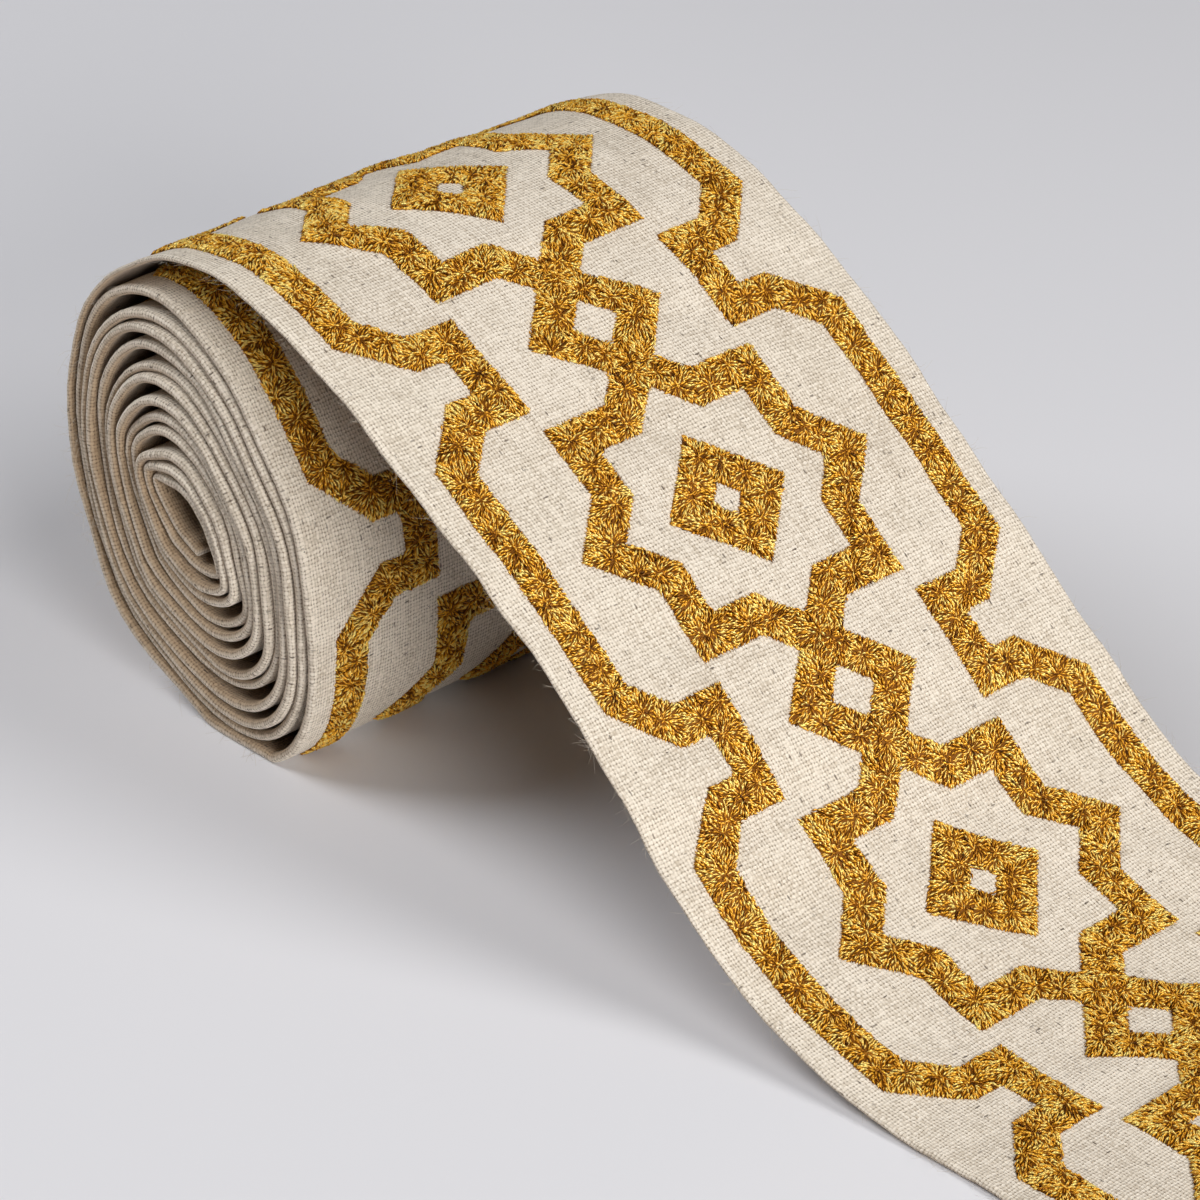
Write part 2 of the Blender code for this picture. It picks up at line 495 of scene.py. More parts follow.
@dataclass(frozen=True)
class WoundFinish:
    """Embroidery seen only edge-on between the turns: the same gold, as a rough raised band."""

    low: tuple = (0.20, 0.075, 0.008)
    high: tuple = (0.66, 0.36, 0.05)
    limits: tuple = (0.36, 0.66)
    strand_scale: float = 1300.0
    strand_relief: float = 0.9
    strand_depth: float = 0.3 * MM
    roughness: float = 0.5

    def material(self) -> bpy.types.Material:
        """Make the wound embroidery's material.

        Returns:
            The material.
        """
        graph = Graph("gold_floss_wound")
        strands = graph.cloth_noise(*graph.flat_place(), Layer.BASE, self.strand_scale)
        colour = graph.mix(strands.between(*self.limits), self.low, self.high)
        graph.bump(strands, self.strand_relief, self.strand_depth)
        return graph.finish(base_color=colour, roughness=self.roughness)


@dataclass(frozen=True)
class PlainFinish:
    """A plain matt surface with a slight mottle."""

    name: str
    colour: tuple
    roughness: float = 0.9
    mottle: float = 0.02
    cloud_scale: float = 3.0

    def material(self) -> bpy.types.Material:
        """Make the material.

        Returns:
            The material.
        """
        graph = Graph(self.name)
        source = graph.node("ShaderNodeTexCoord")
        cloud = graph.noise(source.outputs["Object"], self.cloud_scale)
        darker = tuple(channel * (1 - self.mottle) for channel in self.colour)
        colour = graph.mix(cloud, self.colour, darker)
        return graph.finish(base_color=colour, roughness=self.roughness)


# The tape's path


@dataclass(frozen=True)
class Winding:
    """The tape's centre line: loose end, slope, and turns of the roll, as its solid has them."""

    width: float = 114 * MM
    thickness: float = 1.3 * MM
    centre_height: float = 41.8 * MM
    turns: float = 12.42
    lift_angle: float = 150.0
    reach_turn: float = 0.5
    reaches: tuple = (35.9, 34.3, 36.8, 44.5, 45.5, 36.8, 31.8, 30.8, 33.9, 38.3, 47.2, 41.4)
    core_half_length: float = 8.2 * MM
    core_half_width: float = 2.3 * MM
    core_tilt: float = -35.0
    crescent_depth: float = 0.7 * MM
    crescent_angles: tuple = (118.0, 303.0)
    crescent_spread: float = 34.0
    crescent_rate: float = 2.35
    calm_turns: float = 1.5
    end_shift: float = 0.6 * MM
    end_shift_rate: float = 1.7
    loose_end: tuple = (
        (-30.4, 70.6, 70.6), (-25.7, 79.3, 79.2), (-16.0, 88.9, 88.0), (-4.0, 95.0, 93.8),
        (9.0, 97.2, 96.2), (23.0, 95.4, 95.6), (39.0, 88.8, 90.8), (56.0, 80.6, 82.2),
        (76.0, 68.4, 69.4), (96.0, 55.4, 53.8), (114.0, 41.2, 39.4), (130.0, 26.0, 26.6),
        (145.0, 14.0, 15.6), (161.0, 6.6, 7.8), (178.0, 2.2, 2.6),
    )
    flat_start: float = 192 * MM
    loose_reach: float = 256 * MM
    step: float = 0.4 * MM
    samples_per_turn: int = 600
    join_share: int = 33
    lead: float = 8 * MM

    def outer_reach(self, angle: np.ndarray) -> np.ndarray:
        """Return the outermost turn's reach, on a smooth closed line through the reaches.

        Args:
            angle: The angles, in radians.

        Returns:
            The reaches, in metres.
        """
        places = np.radians(np.arange(len(self.reaches)) * 360 / len(self.reaches))
        reaches = np.array(self.reaches) * MM
        total = np.zeros_like(angle)
        for order in range(len(self.reaches) // 2 + 1):
            share = (1 if order in (0, len(self.reaches) // 2) else 2) / len(self.reaches)
            total += share * np.dot(reaches, np.cos(order * places)) * np.cos(order * angle)
            total += share * np.dot(reaches, np.sin(order * places)) * np.sin(order * angle)
        return total

    def roll_points(self, turn: np.ndarray) -> np.ndarray:
        """Return the centre line's x and z after so many turns inward from the lift-off.

        Args:
            turn: The turns, one for each point.

        Returns:
            The points, a row each.
        """
        angle = np.radians(self.lift_angle + 360 * turn)
        lean = angle - math.radians(self.core_tilt)
        across = np.hypot(self.core_half_width * np.cos(lean), self.core_half_length * np.sin(lean))
        core = self.core_half_length * self.core_half_width / across
        bow = np.zeros_like(turn)
        for place, centre in enumerate(self.crescent_angles):
            away = (np.degrees(angle) - centre + 180) % 360 - 180
            bow += np.exp(-((away / self.crescent_spread) ** 2)) * np.sin(self.crescent_rate * turn + place)
        fade = np.minimum(np.minimum(1.0, turn), np.maximum(0.0, self.turns - self.calm_turns - turn))
        outward = 1 - (turn - self.reach_turn) / self.turns
        radius = core + (self.outer_reach(angle) - core) * outward + self.crescent_depth * fade * bow
        height = self.centre_height + radius * np.sin(angle)
        return np.stack([radius * np.cos(angle), np.maximum(height, self.thickness / 2)], axis=1)

    def smooth_stretch(self, points: list) -> list:
        """Return closely spaced points on a smooth curve through points.

        Args:
            points: The points. The first and the last only steer the curve.

        Returns:
            The curve's points, from the second point to the last but one.
        """
        dense = []
        for first, start, stop, last in zip(points, points[1:], points[2:], points[3:]):
            k1 = math.sqrt(np.linalg.norm(start - first))
            k2 = k1 + math.sqrt(np.linalg.norm(stop - start))
            k3 = k2 + math.sqrt(np.linalg.norm(last - stop))
            count = max(2, round(float(np.linalg.norm(stop - start)) / self.step))
            for k in np.linspace(k1, k2, count, endpoint=False):
                a1 = ((k1 - k) * first + k * start) / k1
                a2 = ((k2 - k) * start + (k - k1) * stop) / (k2 - k1)
                a3 = ((k3 - k) * stop + (k - k2) * last) / (k3 - k2)
                b1 = ((k2 - k) * a1 + k * a2) / k2
                b2 = ((k3 - k) * a2 + (k - k1) * a3) / (k3 - k1)
                dense.append(((k2 - k) * b1 + (k - k1) * b2) / (k2 - k1))
        dense.append(points[-2])
        return dense

    def loose_points(self, edge: Edge) -> np.ndarray:
        """Return the loose end's points for one edge, from the cut end to the roll.

        Args:
            edge: Which long edge.

        Returns:
            The points, a row each.
        """
        half = self.thickness / 2
        column = 1 if edge is Edge.NEAR else 2
        flat_count = round((self.loose_reach - self.flat_start) / self.step)
        places = np.linspace(self.loose_reach, self.flat_start, flat_count, False)
        flat = [np.array([x, half]) for x in places]
        slope = [np.array([row[0], row[column]]) * MM for row in reversed(self.loose_end)]
        knots = [np.array([self.flat_start + self.lead, half]), np.array([self.flat_start, half])]
        knots += slope + list(self.roll_points(np.array([0.0, 1 / self.join_share])))
        line = np.array(flat + self.smooth_stretch(knots))
        line[:, 1] = np.maximum(line[:, 1], half)
        return line


def resample(line: np.ndarray, count: int) -> np.ndarray:
    """Return points evenly spaced along a line, with its ends kept.

    Args:
        line: The line's points, a row each.
        count: How many points to return.

    Returns:
        The points, a row each.
    """
    run = np.concatenate([[0], np.cumsum(np.linalg.norm(np.diff(line, axis=0), axis=1))])
    places = np.linspace(0, run[-1], count)
    return np.stack([np.interp(places, run, line[:, axis]) for axis in (0, 1)], axis=1)


class Path:
    """The tape's surface, read by the distance along it and across it."""

    room_step = 5
    room_from = 20 * MM
    wide_room = 1.0
    least_curve = 1e-3

    def __init__(self, winding: Winding) -> None:
        """Work out the two edges' centre lines and the directions along them.

        Args:
            winding: The tape's centre line.
        """
        self.winding = winding
        near, far = winding.loose_points(Edge.NEAR), winding.loose_points(Edge.FAR)
        count = max(len(near), len(far))
        turn = np.arange(1, round(winding.turns * winding.samples_per_turn) + 1) / winding.samples_per_turn
        wound = winding.roll_points(turn)
        self.edges = [np.concatenate([resample(line, count), wound]) for line in (near, far)]
        self.headings = [self._directions(line) for line in self.edges]
        self.turn = np.concatenate([np.zeros(count), turn])
        self.middle = (self.edges[0] + self.edges[1]) / 2
        self.run = np.concatenate([[0], np.cumsum(np.linalg.norm(np.diff(self.middle, axis=0), axis=1))])
        self.lift_off = float(self.run[count - 1])
        self.length = float(self.run[-1])
        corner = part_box(TAPE_NODE)[1]
        self.offset = np.array([corner.x - winding.loose_reach, -winding.width / 2, 0.0])

    @staticmethod
    def _directions(line: np.ndarray) -> np.ndarray:
        """Return the unit direction of a line at each of its points."""
        ahead = np.gradient(line, axis=0)
        return ahead / np.linalg.norm(ahead, axis=1)[:, None]

    def run_at_turn(self, turn: float) -> float:
        """Return the distance along the tape at so many turns inward."""
        return float(np.interp(turn, self.turn[self.turn > 0], self.run[self.turn > 0]))

    def inner_room(self) -> tuple[np.ndarray, np.ndarray]:
        """Work out how much room there is on the tape's inner side.

        Returns:
            Each point's distance to the next turn inside it, and the radius that it bends at.
        """
        ahead = self._directions(self.middle)
        outward = np.stack([ahead[:, 1], -ahead[:, 0]], axis=1)
        kept = np.arange(0, len(self.middle), self.room_step)
        gaps = self.middle[kept][None] - self.middle[kept][:, None]
        later = self.run[kept][None] - self.run[kept][:, None] > self.room_from
        below = (gaps * outward[kept][:, None]).sum(-1) < 0
        away = np.where(later & below, np.linalg.norm(gaps, axis=-1), self.wide_room).min(axis=1)
        room = np.interp(self.run, self.run[kept], away)
        heading = np.unwrap(np.arctan2(ahead[:, 1], ahead[:, 0]))
        window = np.full(self.room_step, 1 / self.room_step)
        smooth = np.convolve(np.gradient(heading, self.run), window, "same")
        return room, 1 / np.maximum(smooth * self._turning(heading), self.least_curve)

    @staticmethod
    def _turning(heading: np.ndarray) -> float:
        """Return one if the tape winds up as its heading grows, else minus one."""
        return math.copysign(1.0, heading[-1] - heading[0])

    def stations(self, fine: float, coarse: float, change: float, bend: float) -> np.ndarray:
        """Return distances along the tape to build it at, closer together where it bends.

        Args:
            fine: The longest step before the change.
            coarse: The longest step after it.
            change: The distance along the tape where the steps change.
            bend: The largest turn in one step, in degrees.

        Returns:
            The distances, in order.
        """
        heading = np.unwrap(np.arctan2(*self._directions(self.middle).T[::-1]))
        longest = np.where(self.run[1:] < change, fine, coarse)
        effort = np.maximum(np.diff(self.run) / longest, np.abs(np.diff(heading)) / math.radians(bend))
        total = np.concatenate([[0], np.cumsum(effort)])
        return np.interp(np.linspace(0, total[-1], math.ceil(total[-1]) + 1), total, self.run)

    def place(self, run: np.ndarray, across: np.ndarray, height: np.ndarray) -> np.ndarray:
        """Return points in the row frame.

        Args:
            run: Distances along the tape from its cut end.
            across: Distances from its near edge.
            height: Heights over its centre surface, on the embroidered side.

        Returns:
            The points, a row each.
        """
        share = across / self.winding.width
        points = self._read(self.edges, run, share)
        directions = self._read(self.headings, run, share)
        length = np.hypot(*directions)
        turn = np.interp(run, self.run, self.turn)
        shift = self.winding.end_shift * np.sin(self.winding.end_shift_rate * turn) * np.minimum(1.0, turn)
        found = np.stack([
            points[0] + height * directions[1] / length,
            across + shift,
            points[1] - height * directions[0] / length,
        ], axis=-1)
        return found + self.offset

    def _read(self, lines: list, run: np.ndarray, share: np.ndarray) -> list:
        """Return the x and z of something that both edges have, read between them.

        Args:
            lines: The near edge's rows and the far edge's.
            run: Distances along the tape.
            share: How far each point is from the near edge to the far one.

        Returns:
            The x of every point, and the z.
        """
        found = []
        for axis in (0, 1):
            near, far = (np.interp(run, self.run, line[:, axis]) for line in lines)
            found.append(near + (far - near) * share)
        return found


@dataclass(frozen=True)
class Ripples:
    """Small soft waves of a cloth that its embroidery has drawn in."""

    seed: int = 11
    waves: int = 26
    shortest: float = 13 * MM
    longest: float = 46 * MM

    def height(self, run: np.ndarray, across: np.ndarray) -> np.ndarray:
        """Return heights that swing about nought by about one.

        Args:
            run: Distances along the tape.
            across: Distances from its near edge.

        Returns:
            The heights.
        """
        dice = np.random.default_rng(self.seed)
        total = np.zeros(np.broadcast(run, across).shape)
        for _ in range(self.waves):
            wave = dice.uniform(self.shortest, self.longest)
            heading, phase = dice.uniform(0, 2 * math.pi, 2)
            place = run * math.cos(heading) + across * math.sin(heading)
            total += np.sin(2 * math.pi * place / wave + phase)
        return total / math.sqrt(self.waves / 2)


@dataclass(frozen=True)
class Waviness:
    """How far the cloth's ripples lift it off its path."""

    ripples: Ripples = Ripples()
    loose: float = 0.22 * MM
    wound: float = 0.06 * MM
    fade: float = 30 * MM

    def lift(self, path: Path, run: np.ndarray, across: np.ndarray) -> np.ndarray:
        """Return the cloth's lift, never downward where it lies on the surface.

        Args:
            path: The tape's surface.
            run: Distances along the tape.
            across: Distances from its near edge.

        Returns:
            The lifts.
        """
        calm = np.clip((path.lift_off - run) / self.fade, 0, 1)
        depth = self.wound + (self.loose - self.wound) * calm
        wave = self.ripples.height(run, across) * depth
        flat_until = path.winding.loose_reach - path.winding.flat_start
        laid = np.clip((run - flat_until) / self.fade, 0, 1)
        return wave * laid + np.abs(wave) * (1 - laid)


WAVINESS = Waviness()


def make_piece(name: str, points: np.ndarray, faces: list, material: bpy.types.Material,
               places: np.ndarray | None = None, values: dict | None = None) -> bpy.types.Object:
    """Make one mesh piece of the object, riding on its body.

    Args:
        name: The piece's name.
        points: Its vertices, in the row frame.
        faces: Arrays of vertex numbers, each with a fixed number of corners.
        material: Its finish.
        places: Each face corner's place across and along the unrolled cloth, or None.
        values: Numbers that its vertices carry, by name.

    Returns:
        The piece.
    """
    mesh = bpy.data.meshes.new(name)
    corners = np.concatenate([part.ravel() for part in faces]).astype(np.int32)
    sizes = np.concatenate([np.full(len(part), part.shape[1]) for part in faces])
    mesh.vertices.add(len(points))
    mesh.vertices.foreach_set("co", points.astype(np.float32).ravel())
    mesh.loops.add(len(corners))
    mesh.loops.foreach_set("vertex_index", corners)
    mesh.polygons.add(len(sizes))
    mesh.polygons.foreach_set("loop_start", np.concatenate([[0], np.cumsum(sizes)[:-1]]).astype(np.int32))
    mesh.update(calc_edges=True)
    if places is not None:
        layer = mesh.uv_layers.new(name=THREAD_MAP)
        layer.uv.foreach_set("vector", places.astype(np.float32).ravel())
    for key, numbers in (values or {}).items():
        mesh.attributes.new(key, "FLOAT", "POINT").data.foreach_set("value", numbers.astype(np.float32))
    mesh.shade_smooth()
    mesh.materials.append(material)
    piece = bpy.data.objects.new(name, mesh)
    bpy.context.scene.collection.objects.link(piece)
    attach(piece, ROOT_BODY)
    return piece


@dataclass
class LinenTape:
    """The strip of linen, with both long edges folded under."""

    path: Path
    finish: LinenFinish = LinenFinish()
    outer_columns: int = 44
    fold_reach: float = 1.0 * MM
    fold_angles: tuple = (70.0, 45.0, 20.0, -10.0, -40.0, -68.0)
    fold_painted_shades: tuple = (0.0, 0.0, 0.2, 0.6, 0.9, 1.0)
    hem: float = 12 * MM
    hem_slope: float = 0.5 * MM
    hem_shares: tuple = ((1.0, 1.0), (2.2, 0.92), (3.6, 0.74), (5.2, 0.60), (12.0, 0.58))
    bare_depth: float = 0.26 * MM
    inner_columns: int = 9
    puffed: float = 1.3 * MM
    pressed: float = 0.48 * MM
    clearance: float = 0.34 * MM
    puff_fade: float = 45 * MM
    least_fold: float = 0.3 * MM
    bend_share: float = 0.5
    fine_turns: float = 1.15
    fine_step: float = 1.7 * MM
    coarse_step: float = 4.5 * MM
    bend: float = 7.0
    edge_from: float = 0.9
    edge_calm: float = 0.1
    edge_wander: float = 0.16 * MM
    edge_ripples: Ripples = Ripples(5, 30, 4 * MM, 60 * MM)

    def section(self, depth: np.ndarray) -> tuple[np.ndarray, np.ndarray, np.ndarray]:
        """Return the cloth's section at each station.

        Args:
            depth: How far the folded edge reaches to the inner side, a number for each station.

        Returns:
            The places across, the heights at each station, and how much painted shade each gets: none on
            the outer face, more round the fold, all of it on the inner side.
        """
        width, reach = self.path.winding.width, self.fold_reach
        half = self.path.winding.thickness / 2
        outer = [(w, 0.0, half, 0.0) for w in np.linspace(reach, width - reach, self.outer_columns)]
        far = []
        # Painted shade grows round the fold, from none on top to all of it underneath; the hem and the
        # inner side get all of it.
        for angle, inside in zip(self.fold_angles, self.fold_painted_shades):
            rise = math.sin(math.radians(angle))
            across = width - reach + reach * math.cos(math.radians(angle))
            far.append((across, (1 - rise) / 2, half * (1 + rise) / 2, inside))
        hem = [(w * MM, share, 0.0, 1.0) for w, share in self.hem_shares]
        bare = np.linspace(self.hem + self.hem_slope, width - self.hem - self.hem_slope, self.inner_columns)
        inner = [(width - w, *rest) for w, *rest in hem]
        inner += [(w, 0.0, -self.bare_depth, 1.0) for w in reversed(bare)]
        inner += list(reversed(hem))
        near = [(width - w, *rest) for w, *rest in reversed(far)]
        across, share, fixed, inside = (np.array(column) for column in zip(*outer, *far, *inner, *near))
        return across, fixed[None, :] - share[None, :] * depth[:, None], inside

    def fold_depth(self, run: np.ndarray) -> np.ndarray:
        """Return how thick the folded edge is on its inner side: puffed where there is room.

        Args:
            run: Distances along the tape.

        Returns:
            The depths.
        """
        path = self.path
        room, curve = path.inner_room()
        wound = np.clip((run - path.lift_off) / self.puff_fade, 0, 1)
        most = self.pressed + (self.puffed - self.pressed) * wound
        free = np.interp(run, path.run, room) - path.winding.thickness / 2 - self.clearance
        bent = np.interp(run, path.run, curve) * self.bend_share
        return np.maximum(np.minimum(np.minimum(most, free), bent), self.least_fold)

    def build(self) -> bpy.types.Object:
        """Build the cloth as one closed piece in place of its solid.

        Returns:
            The piece.
        """
        change = self.path.run_at_turn(self.fine_turns)
        run = self.path.stations(self.fine_step, self.coarse_step, change, self.bend)
        across, height, inside = self.section(self.fold_depth(run))
        count, around = len(run), len(across)
        grid_run = np.repeat(run[:, None], around, axis=1)
        grid_across = across[None, :] + self._wander(run[:, None], across[None, :])
        lift = WAVINESS.lift(self.path, grid_run, grid_across)
        points = self.path.place(grid_run, grid_across, height + lift).reshape(-1, 3)
        points[:, 2] = np.maximum(points[:, 2], 0.0)
        ring = np.arange(around)
        row = np.arange(count - 1)[:, None] * around
        start, after = row + ring, row + (ring + 1) % around
        sides = np.stack([start, start + around, after + around, after], axis=-1).reshape(-1, 4)
        caps = [ring[None, :], (ring[::-1] + (count - 1) * around)[None, :]]
        tape = make_piece(
            "linen_tape", points, [sides, *caps], self.finish.material(),
            self._thread_places(run, across, height.mean(axis=0)), {INNER_PAINTED_SHADE: np.tile(inside, count)},
        )
        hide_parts(TAPE_NODE)
        return tape

    def _wander(self, run: np.ndarray, across: np.ndarray) -> np.ndarray:
        """Return how far the two edges stray in or out, which fades into the cloth.

        Args:
            run: Distances along the tape.
            across: Distances from its near edge.

        Returns:
            The shifts across.
        """
        middle = self.path.winding.width / 2
        outer = (np.abs(across - middle) / middle - self.edge_from) / (1 - self.edge_from)
        edge = np.clip(outer, 0, 1) * np.sign(across - middle)
        return self.edge_ripples.height(run, across * self.edge_calm) * edge * self.edge_wander

    @staticmethod
    def _thread_places(run: np.ndarray, across: np.ndarray, height: np.ndarray) -> np.ndarray:
        """Return each face corner's place in the weave, carried round the folded edges.

        Args:
            run: The stations along the tape.
            across: The section's places across.
            height: Its usual heights.

        Returns:
            The places across and along, a row for each corner.
        """
        count, around = len(run), len(across)
        closed = np.append(across, across[0]), np.append(height, height[0])
        steps = np.hypot(np.diff(closed[0]), np.diff(closed[1]))
        girth = np.concatenate([[0], np.cumsum(steps)]) + across[0]
        low, high = (np.broadcast_to(part, (count - 1, around)) for part in (girth[:-1], girth[1:]))
        here, there = (np.repeat(part[:, None], around, 1) for part in (run[:-1], run[1:]))
        places = np.stack([low, here, low, there, high, there, high, here], axis=-1).reshape(-1, 2)
        first = np.stack([across, height + run[0]], 1)
        last = np.stack([across[::-1], height[::-1] + run[-1]], 1)
        return np.concatenate([places, first, last])


# The embroidery


@dataclass(frozen=True)
class Band:
    """One line of the design on the unrolled cloth, as (along, across) points."""

    points: np.ndarray
    closed: bool

    def mitres(self, half: float) -> np.ndarray:
        """Return the way from each point to the band's left edge, mitred at the corners.

        Args:
            half: Half of the band's width.

        Returns:
            The vectors, a row each.
        """
        points = self.points
        if self.closed:
            before, after = np.roll(points, 1, axis=0), np.roll(points, -1, axis=0)
        else:
            before = np.concatenate([2 * points[:1] - points[1:2], points[:-1]])
            after = np.concatenate([points[1:], 2 * points[-1:] - points[-2:-1]])
        first, second = self._left(points - before), self._left(after - points)
        return half * (first + second) / (1 + (first * second).sum(1))[:, None]

    @staticmethod
    def _left(way: np.ndarray) -> np.ndarray:
        """Return the unit vector to the left of each way."""
        return np.stack([-way[:, 1], way[:, 0]], 1) / np.linalg.norm(way, axis=1)[:, None]

    def segments(self) -> list[tuple[int, int]]:
        """Return the numbers of the two points of each straight stretch."""
        count = len(self.points)
        return [(i, (i + 1) % count) for i in range(count if self.closed else count - 1)]

    def covers(self, half: float, low: float, grid: float, spots: np.ndarray) -> list[tuple]:
        """Return which of a grid's points each straight stretch of the band covers.

        Args:
            half: Half of the band's width.
            low: Where the grid starts along the tape.
            grid: The size of its cells.
            spots: A point in each cell, as (along, across).

        Returns:
            For each stretch its two ends, the grid's rows and columns near it, and which are covered.
        """
        found = []
        mitres = self.mitres(half)
        for start, stop in self.segments():
            a, b = self.points[start], self.points[stop]
            ring = np.array([a + mitres[start], a - mitres[start], b - mitres[stop], b + mitres[stop]])
            box = (ring - np.array([low, 0.0])) / grid
            i0, j0 = np.maximum(np.floor(box.min(0)).astype(int), 0)
            i1, j1 = np.minimum(np.ceil(box.max(0)).astype(int) + 1, spots.shape[:2])
            if i0 >= i1 or j0 >= j1:
                continue
            near = slice(i0, i1), slice(j0, j1)
            inside = np.ones((i1 - i0, j1 - j0), bool)
            for one, two in zip(ring, np.roll(ring, -1, axis=0)):
                edge, away = two - one, spots[near] - one
                inside &= edge[0] * away[..., 1] - edge[1] * away[..., 0] >= 0
            found.append((a, b, near, inside))
        return found


@dataclass(frozen=True)
class Design:
    """A plain geometric repeat: eight-pointed stars, small diamonds and a stepped border."""

    width: float
    period: float = 84 * MM
    start: float = 20 * MM
    band_width: float = 8.3 * MM
    star_points: int = 8
    star_reach: float = 31 * MM
    star_waist: float = 0.7654
    seed_reach: float = 9 * MM
    border: float = 9.8 * MM
    step_in: float = 27.5 * MM
    steps: tuple = (25.0, 34.0, 50.0, 59.0)
    chamfer: float = 9 * MM

    def bands(self, low: float, high: float) -> list[Band]:
        """Return the design's lines between two distances along the tape.

        Args:
            low: Where the stretch starts.
            high: Where it ends.

        Returns:
            The bands.
        """
        found = []
        first = math.floor((low - self.start) / self.period)
        last = math.ceil((high - self.start) / self.period)
        borders = {Edge.NEAR: [], Edge.FAR: []}
        for repeat in range(first, last + 1):
            centre = self.start + repeat * self.period
            found.append(self._star(centre))
            found.append(self._diamond(centre, self.seed_reach))
            found.append(self._diamond(centre + self.period / 2, self.period / 2 - self.star_reach))
            for edge in Edge:
                borders[edge] += self._border_steps(centre, edge)
        for points in borders.values():
            found.append(Band(np.array(points), False))
        return found

    def _star(self, centre: float) -> Band:
        """Return a star's outline, with every second corner drawn in."""
        drawn_in = np.tile([1.0, self.star_waist], self.star_points)
        return self._ring(centre, drawn_in * self.star_reach)

    def _diamond(self, centre: float, reach: float) -> Band:
        """Return a small square that stands on its corner."""
        return self._ring(centre, np.full(4, reach))

    def _ring(self, centre: float, reaches: np.ndarray) -> Band:
        """Return a closed outline about a point of the tape's middle line.

        Args:
            centre: The point's distance along the tape.
            reaches: How far out the corners lie, at even angles.

        Returns:
            The outline.
        """
        angles = np.arange(len(reaches)) * 2 * math.pi / len(reaches)
        across = self.width / 2 + reaches * np.sin(angles)
        return Band(np.stack([centre + reaches * np.cos(angles), across], 1), True)

    def _border_steps(self, centre: float, edge: Edge) -> list:
        """Return one repeat of the stepped border, from beside a star to beside the next.

        Args:
            centre: The star's distance along the tape.
            edge: The long edge that the border runs beside.

        Returns:
            Its (along, across) points.
        """
        first, second, third, fourth = self.steps
        run = [first, second, second, third, third, fourth]
        climb = [self.border, self.border + self.chamfer, self.step_in]
        rise = climb + climb[::-1]
        if edge is Edge.FAR:
            rise = [self.width - value for value in rise]
        return [(centre + along * MM, value) for along, value in zip(run, rise)]


